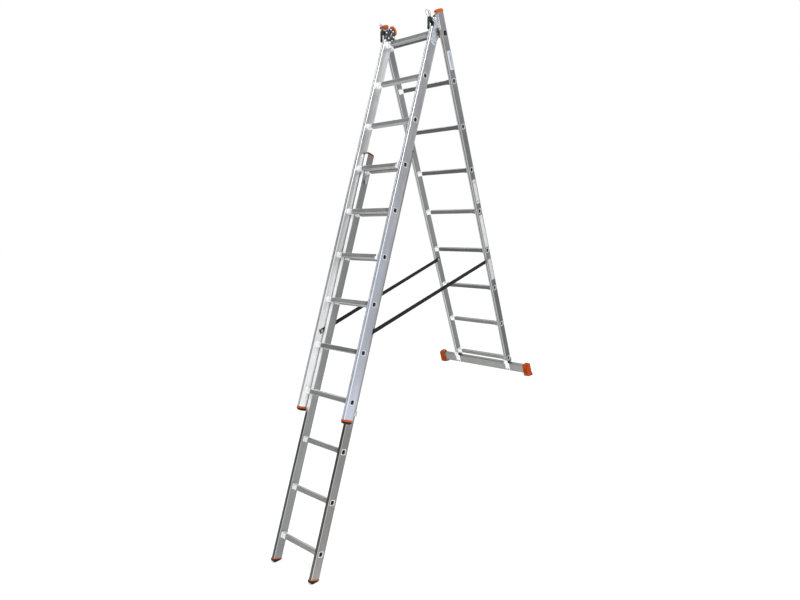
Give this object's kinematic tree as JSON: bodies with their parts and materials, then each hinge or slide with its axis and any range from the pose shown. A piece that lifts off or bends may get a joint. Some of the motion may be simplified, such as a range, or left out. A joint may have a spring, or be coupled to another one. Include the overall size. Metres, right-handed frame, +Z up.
{
  "type": "multi position ladder",
  "caption": "Hinged aluminium combination ladder with a sliding extension leg for use on stairs, safety straps and a stabiliser bar.",
  "frame": {"origin": "ground point under the centre of the bounding box, at the level of the extension feet", "axes": "+Z up, +X along the rungs, -Y towards the climbing side of the front section, +Y towards the rear section"},
  "size_m": [0.796, 1.8982, 3.2203],
  "materials": {
    "aluminium": "satin extruded",
    "orange_plastic": "moulded, semi-matt",
    "black_rubber": "matt",
    "zinc_steel": "zinc plated",
    "dark_steel": "dark coated",
    "webbing": "woven polyester"
  },
  "bodies": {
    "front_section": {"front_stile_left": "aluminium", "front_stile_right": "aluminium", "front_rung_1": "aluminium", "front_rung_2": "aluminium", "front_rung_3": "aluminium", "front_rung_4": "aluminium", "front_rung_5": "aluminium", "front_rung_6": "aluminium", "front_rung_7": "aluminium", "front_rung_8": "aluminium", "front_rung_9": "aluminium", "front_foot_cap_left": "orange_plastic", "front_foot_cap_right": "orange_plastic", "hinge_bracket_left": "zinc_steel", "hinge_bracket_right": "zinc_steel", "guide_bracket_left": "zinc_steel", "guide_bracket_right": "zinc_steel", "strap_left": "webbing", "strap_right": "webbing"},
    "rear_section": {"rear_stile_left": "aluminium", "rear_stile_right": "aluminium", "rear_rung_1": "aluminium", "rear_rung_2": "aluminium", "rear_rung_3": "aluminium", "rear_rung_4": "aluminium", "rear_rung_5": "aluminium", "rear_rung_6": "aluminium", "rear_rung_7": "aluminium", "rear_rung_8": "aluminium", "rear_rung_9": "aluminium", "rear_top_cap_left": "orange_plastic", "rear_top_cap_right": "orange_plastic", "rear_hinge_plate_left": "zinc_steel", "rear_hinge_plate_right": "zinc_steel", "stabiliser_bar": "aluminium", "stabiliser_bracket_left": "zinc_steel", "stabiliser_bracket_right": "zinc_steel", "stabiliser_foot_left": "orange_plastic", "stabiliser_foot_right": "orange_plastic"},
    "extension_section": {"extension_stile_left": "aluminium", "extension_stile_right": "aluminium", "extension_rung_1": "aluminium", "extension_rung_2": "aluminium", "extension_rung_3": "aluminium", "extension_rung_4": "aluminium", "extension_rung_5": "aluminium", "extension_rung_6": "aluminium", "extension_rung_7": "aluminium", "extension_rung_8": "aluminium", "extension_rung_9": "aluminium", "extension_top_cap_left": "orange_plastic", "extension_top_cap_right": "orange_plastic", "extension_foot_left": "black_rubber", "extension_foot_right": "black_rubber", "latch_bracket_left": "zinc_steel", "latch_bracket_right": "zinc_steel"},
    "hinge_lever_left": {"hinge_lock_lever_left": "dark_steel"},
    "hinge_lever_right": {"hinge_lock_lever_right": "dark_steel"},
    "latch_left": {"rung_latch_left": "dark_steel"},
    "latch_right": {"rung_latch_right": "dark_steel"}
  },
  "joints": [
    {"name": "leg_hinge", "type": "hinge", "parent": "front_section", "child": "rear_section", "pos_m": [0, 0.11677, 3.08248], "axis": [1, 0, 0], "range_deg": [-28.5, 0], "deforming": ["strap_left", "strap_right"]},
    {"name": "extension_slide", "type": "slide", "parent": "front_section", "child": "extension_section", "axis": [0, -0.3173, -0.9483], "range_m": [-0.56, 0.56]},
    {"name": "hinge_lever_left_turn", "type": "hinge", "parent": "front_section", "child": "hinge_lever_left", "pos_m": [0, 0.04599, 3.15391], "axis": [1, 0, 0], "range_deg": [-55, 0]},
    {"name": "hinge_lever_right_turn", "type": "hinge", "parent": "front_section", "child": "hinge_lever_right", "pos_m": [0, 0.04599, 3.15391], "axis": [1, 0, 0], "range_deg": [-55, 0]},
    {"name": "latch_left_swing", "type": "hinge", "parent": "extension_section", "child": "latch_left", "pos_m": [0, -0.17926, 2.23173], "axis": [1, 0, 0], "range_deg": [-135, 0]},
    {"name": "latch_right_swing", "type": "hinge", "parent": "extension_section", "child": "latch_right", "pos_m": [0, -0.17926, 2.23173], "axis": [1, 0, 0], "range_deg": [-135, 0]}
  ]
}
